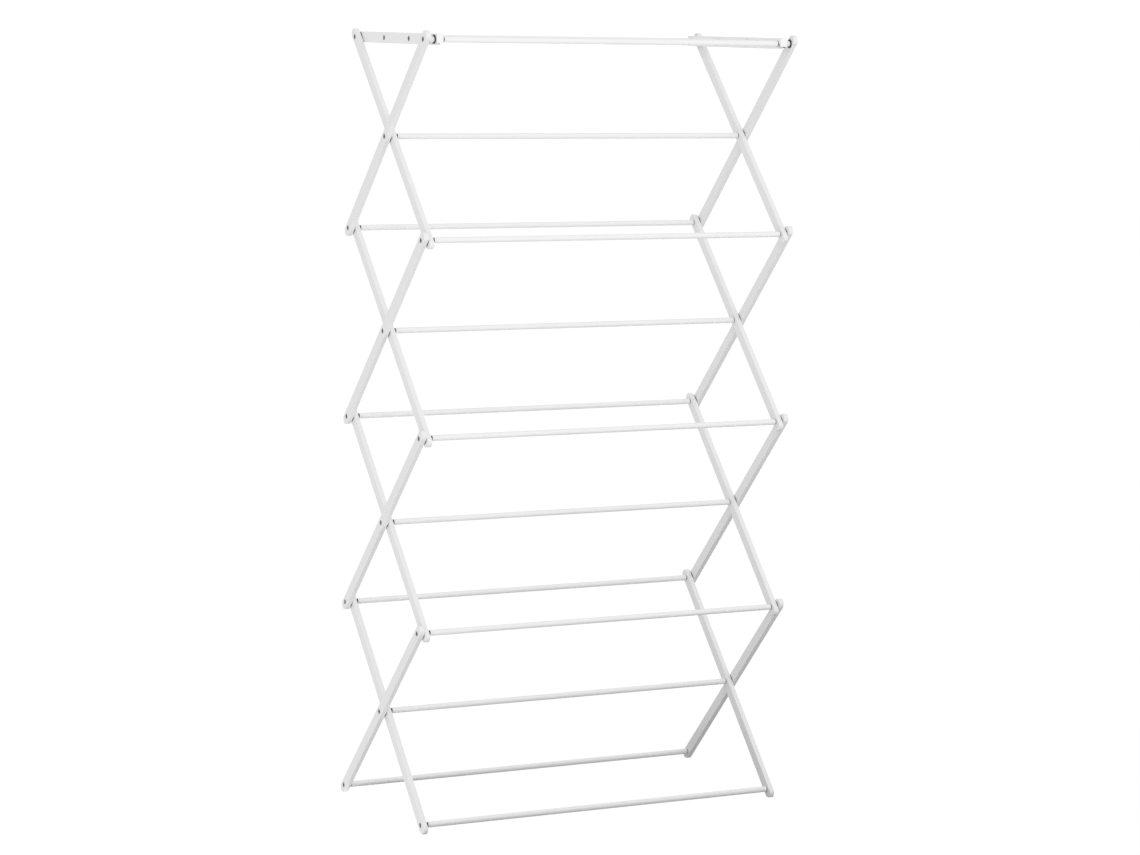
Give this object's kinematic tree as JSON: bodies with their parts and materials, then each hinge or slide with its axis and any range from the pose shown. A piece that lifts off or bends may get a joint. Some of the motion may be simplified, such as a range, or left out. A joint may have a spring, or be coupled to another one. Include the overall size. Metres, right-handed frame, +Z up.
{
  "type": "clothes drying rack",
  "caption": "Free-standing folding clothes drying rack: scissor side frames of crossed flat bars carry round tube rails, and hinged lock arms hook over the top front rail.",
  "frame": {"origin": "on the floor, under the middle of the rack", "axes": "+Z up, +Y towards the rear, +X to the right across the rack along the rails"},
  "size_m": [0.7, 0.3434, 1.344],
  "materials": {
    "bar_plastic": "glossy white moulded plastic with softly rounded edges",
    "arm_plastic": "glossy white moulded plastic, slightly brighter than the bars",
    "rail_steel": "satin white powder coat on thin steel tube, bare dark steel at the rolled ends",
    "washer_plastic": "matt grey plastic"
  },
  "bodies": {
    "base_rail": {"front_rail_0": "rail_steel"},
    "inner_bars_1": {"left_inner_bar_1": "bar_plastic", "right_inner_bar_1": "bar_plastic", "centre_rail_1": "rail_steel", "rear_rail_1": "rail_steel", "left_washer_centre_1": "washer_plastic", "right_washer_centre_1": "washer_plastic", "left_washer_rear_1": "washer_plastic", "right_washer_rear_1": "washer_plastic"},
    "inner_bars_2": {"left_inner_bar_2": "bar_plastic", "right_inner_bar_2": "bar_plastic", "centre_rail_2": "rail_steel", "rear_rail_2": "rail_steel", "front_rail_1": "rail_steel", "left_washer_centre_2": "washer_plastic", "right_washer_centre_2": "washer_plastic", "left_washer_rear_2": "washer_plastic", "right_washer_rear_2": "washer_plastic", "left_washer_front_1": "washer_plastic", "right_washer_front_1": "washer_plastic"},
    "inner_bars_3": {"left_inner_bar_3": "bar_plastic", "right_inner_bar_3": "bar_plastic", "centre_rail_3": "rail_steel", "rear_rail_3": "rail_steel", "front_rail_2": "rail_steel", "left_washer_centre_3": "washer_plastic", "right_washer_centre_3": "washer_plastic", "left_washer_rear_3": "washer_plastic", "right_washer_rear_3": "washer_plastic", "left_washer_front_2": "washer_plastic", "right_washer_front_2": "washer_plastic"},
    "inner_bars_4": {"left_inner_bar_4": "bar_plastic", "right_inner_bar_4": "bar_plastic", "centre_rail_4": "rail_steel", "rear_rail_4": "rail_steel", "front_rail_3": "rail_steel", "left_washer_centre_4": "washer_plastic", "right_washer_centre_4": "washer_plastic", "left_washer_front_3": "washer_plastic", "right_washer_front_3": "washer_plastic", "left_washer_arm": "washer_plastic", "right_washer_arm": "washer_plastic"},
    "outer_bars_1": {"left_outer_bar_1": "bar_plastic", "right_outer_bar_1": "bar_plastic", "rear_rail_0": "rail_steel"},
    "outer_bars_2": {"left_outer_bar_2": "bar_plastic", "right_outer_bar_2": "bar_plastic"},
    "outer_bars_3": {"left_outer_bar_3": "bar_plastic", "right_outer_bar_3": "bar_plastic"},
    "outer_bars_4": {"left_outer_bar_4": "bar_plastic", "right_outer_bar_4": "bar_plastic", "front_rail_4": "rail_steel"},
    "lock_frame": {"left_lock_arm": "arm_plastic", "right_lock_arm": "arm_plastic", "top_rail_front": "rail_steel", "top_rail_rear": "rail_steel"}
  },
  "joints": [
    {"name": "fold", "type": "hinge", "parent": "base_rail", "child": "inner_bars_1", "pos_m": [0, -0.1575, 0.0136], "axis": [-1, 0, 0], "range_deg": [0, 43.5]},
    {"name": "cross_1", "type": "hinge", "parent": "inner_bars_1", "child": "outer_bars_1", "pos_m": [0, 0, 0.1781], "axis": [1, 0, 0], "range_deg": [0, 87]},
    {"name": "rear_1", "type": "hinge", "parent": "inner_bars_1", "child": "outer_bars_2", "pos_m": [0, 0.1575, 0.3426], "axis": [1, 0, 0], "range_deg": [0, 87]},
    {"name": "cross_2", "type": "hinge", "parent": "outer_bars_2", "child": "inner_bars_2", "pos_m": [0, 0, 0.5071], "axis": [-1, 0, 0], "range_deg": [0, 87]},
    {"name": "rear_2", "type": "hinge", "parent": "inner_bars_2", "child": "outer_bars_3", "pos_m": [0, 0.1575, 0.6716], "axis": [1, 0, 0], "range_deg": [0, 87]},
    {"name": "cross_3", "type": "hinge", "parent": "outer_bars_3", "child": "inner_bars_3", "pos_m": [0, 0, 0.8361], "axis": [-1, 0, 0], "range_deg": [0, 87]},
    {"name": "rear_3", "type": "hinge", "parent": "inner_bars_3", "child": "outer_bars_4", "pos_m": [0, 0.1575, 1.0006], "axis": [1, 0, 0], "range_deg": [0, 87]},
    {"name": "cross_4", "type": "hinge", "parent": "outer_bars_4", "child": "inner_bars_4", "pos_m": [0, 0, 1.1651], "axis": [-1, 0, 0], "range_deg": [0, 87]},
    {"name": "lock_lift", "type": "hinge", "parent": "inner_bars_4", "child": "lock_frame", "pos_m": [0, 0.1575, 1.3296], "axis": [-1, 0, 0], "range_deg": [0, 120]}
  ],
  "couplings": [
    {"joint": "cross_1", "follows": "fold", "ratio": 2},
    {"joint": "rear_1", "follows": "fold", "ratio": 2},
    {"joint": "cross_2", "follows": "fold", "ratio": 2},
    {"joint": "rear_2", "follows": "fold", "ratio": 2},
    {"joint": "cross_3", "follows": "fold", "ratio": 2},
    {"joint": "rear_3", "follows": "fold", "ratio": 2},
    {"joint": "cross_4", "follows": "fold", "ratio": 2}
  ]
}
